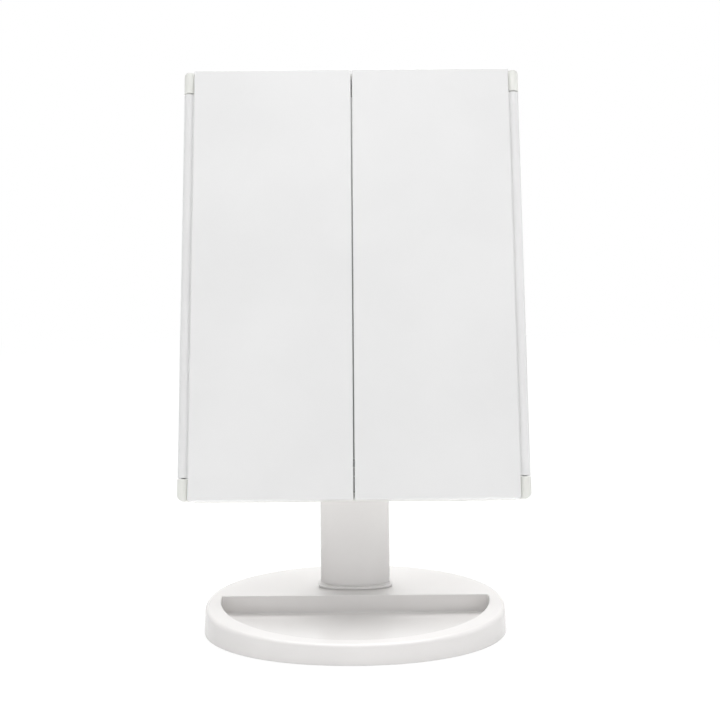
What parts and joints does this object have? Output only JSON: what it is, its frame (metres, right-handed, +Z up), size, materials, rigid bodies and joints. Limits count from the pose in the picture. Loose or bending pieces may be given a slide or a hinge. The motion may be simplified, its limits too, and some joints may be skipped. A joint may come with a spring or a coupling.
{
  "type": "vanity mirror",
  "caption": "Tilting tabletop vanity mirror with folding wings that close over a lit centre panel, on an oval base with a tray.",
  "frame": {"origin": "on the table, in the middle of the whole object's footprint", "axes": "+X to the viewer's right, +Y from the viewer to the back, +Z up; the closed wings face -Y"},
  "size_m": [0.182, 0.1368, 0.2914],
  "materials": {
    "shell_white": "satin",
    "shell_ivory": "satin",
    "plate_white": "matte",
    "weight_steel": "satin",
    "foot_rubber": "matte",
    "screw_steel": "satin",
    "bearing_plastic": "satin",
    "mirror_glass": "polished",
    "foam": "matte",
    "light_diffuser": "satin",
    "led_board": "satin",
    "circuit_board": "satin",
    "led_lens": "gloss",
    "black_plastic": "satin",
    "sensor_foil": "satin",
    "nickel_plate": "polished",
    "cell_jacket": "satin"
  },
  "bodies": {
    "base": {"base_bottom_plate": "plate_white", "base_foot_front_left": "foot_rubber", "base_foot_front_right": "foot_rubber", "base_foot_rear_left": "foot_rubber", "base_foot_rear_right": "foot_rubber", "base_plate_screws": "screw_steel", "base_shell": "shell_white", "base_weight": "weight_steel", "post_foot_screws": "screw_steel", "post_front_shell": "shell_white", "post_rear_shell": "shell_white", "post_shell_screws": "screw_steel", "tilt_bush": "bearing_plastic", "tilt_washer_left": "bearing_plastic", "tilt_washer_right": "bearing_plastic"},
    "mirror_head": {"battery_cell_1": "cell_jacket", "battery_cell_2": "cell_jacket", "battery_cell_3": "cell_jacket", "battery_cell_4": "cell_jacket", "battery_contacts": "nickel_plate", "battery_springs": "nickel_plate", "centre_front_frame": "shell_ivory", "centre_mirror": "mirror_glass", "centre_mirror_tape": "foam", "centre_rear_housing": "shell_ivory", "control_board": "circuit_board", "control_board_parts": "black_plastic", "housing_screws": "screw_steel", "led_board_left": "led_board", "led_board_right": "led_board", "led_board_top": "led_board", "leds_left": "led_lens", "leds_right": "led_lens", "leds_top": "led_lens", "left_hinge_pin_bottom": "screw_steel", "left_hinge_pin_top": "screw_steel", "light_strip_left": "light_diffuser", "light_strip_right": "light_diffuser", "light_strip_top": "light_diffuser", "power_switch_body": "black_plastic", "right_hinge_pin_bottom": "screw_steel", "right_hinge_pin_top": "screw_steel", "tilt_axle": "screw_steel", "tilt_axle_nut": "screw_steel", "touch_sensor_pad": "sensor_foil", "usb_socket": "nickel_plate"},
    "left_wing": {"left_wing_cover": "shell_white", "left_wing_frame": "shell_white", "left_wing_pads": "foam", "left_mirror_lower": "mirror_glass", "left_mirror_upper": "mirror_glass"},
    "right_wing": {"right_wing_cover": "shell_white", "right_wing_frame": "shell_white", "right_wing_pads": "foam", "right_mirror": "mirror_glass"},
    "battery_door": {"battery_door": "shell_white"},
    "power_switch_knob": {"power_switch_knob": "shell_white"}
  },
  "joints": [
    {"name": "mirror_tilt", "type": "hinge", "parent": "base", "child": "mirror_head", "pos_m": [0, 0.01658, 0.111], "axis": [1, 0, 0], "range_deg": [-72, 18]},
    {"name": "left_wing_hinge", "type": "hinge", "parent": "mirror_head", "child": "left_wing", "pos_m": [-0.088, -0.01294, 0.06802], "axis": [0, -0.309, -0.9511], "range_deg": [0, 180]},
    {"name": "right_wing_hinge", "type": "hinge", "parent": "mirror_head", "child": "right_wing", "pos_m": [0.088, -0.01294, 0.06802], "axis": [0, 0.309, 0.9511], "range_deg": [0, 180]},
    {"name": "battery_door_slide", "type": "slide", "parent": "mirror_head", "child": "battery_door", "axis": [0, 0.309, 0.9511], "range_m": [0, 0.062]},
    {"name": "power_switch_slide", "type": "slide", "parent": "mirror_head", "child": "power_switch_knob", "axis": [1, 0, 0], "range_m": [0, 0.003]}
  ]
}
